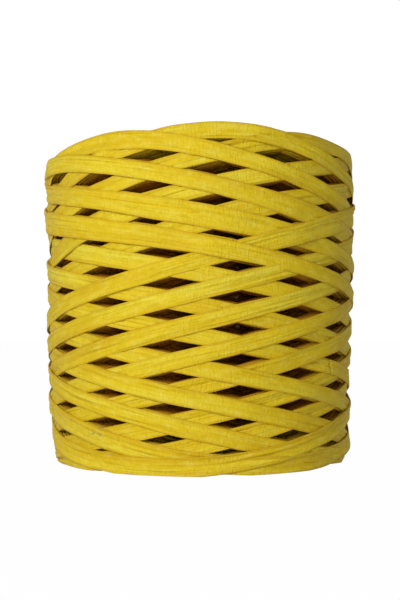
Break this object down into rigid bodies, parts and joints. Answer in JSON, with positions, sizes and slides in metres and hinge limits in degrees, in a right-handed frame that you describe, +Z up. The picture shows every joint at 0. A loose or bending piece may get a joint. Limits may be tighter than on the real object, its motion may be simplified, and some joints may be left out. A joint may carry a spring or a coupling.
{
  "type": "string reel",
  "caption": "Upright reel of flat crepe paper ribbon, cross-wound in open diamonds on a plain paperboard core with an open bore.",
  "frame": {"origin": "on the core's axis, at the level of the lower end of the core and the winding", "axes": "+Z up along the core's axis, -Y towards the side seen in the picture, +X to its right"},
  "size_m": [0.1149, 0.1145, 0.116],
  "materials": {
    "crepe_ribbon": "matt crepe paper, yellow",
    "kraft_board": "plain brown paperboard"
  },
  "bodies": {
    "root": {"core_inner_ply": "kraft_board", "core_middle_ply": "kraft_board", "core_outer_ply": "kraft_board", "ribbon_start": "crepe_ribbon", "winding_body": "crepe_ribbon", "outer_winding": "crepe_ribbon", "ribbon_tail": "crepe_ribbon"}
  },
  "joints": []
}
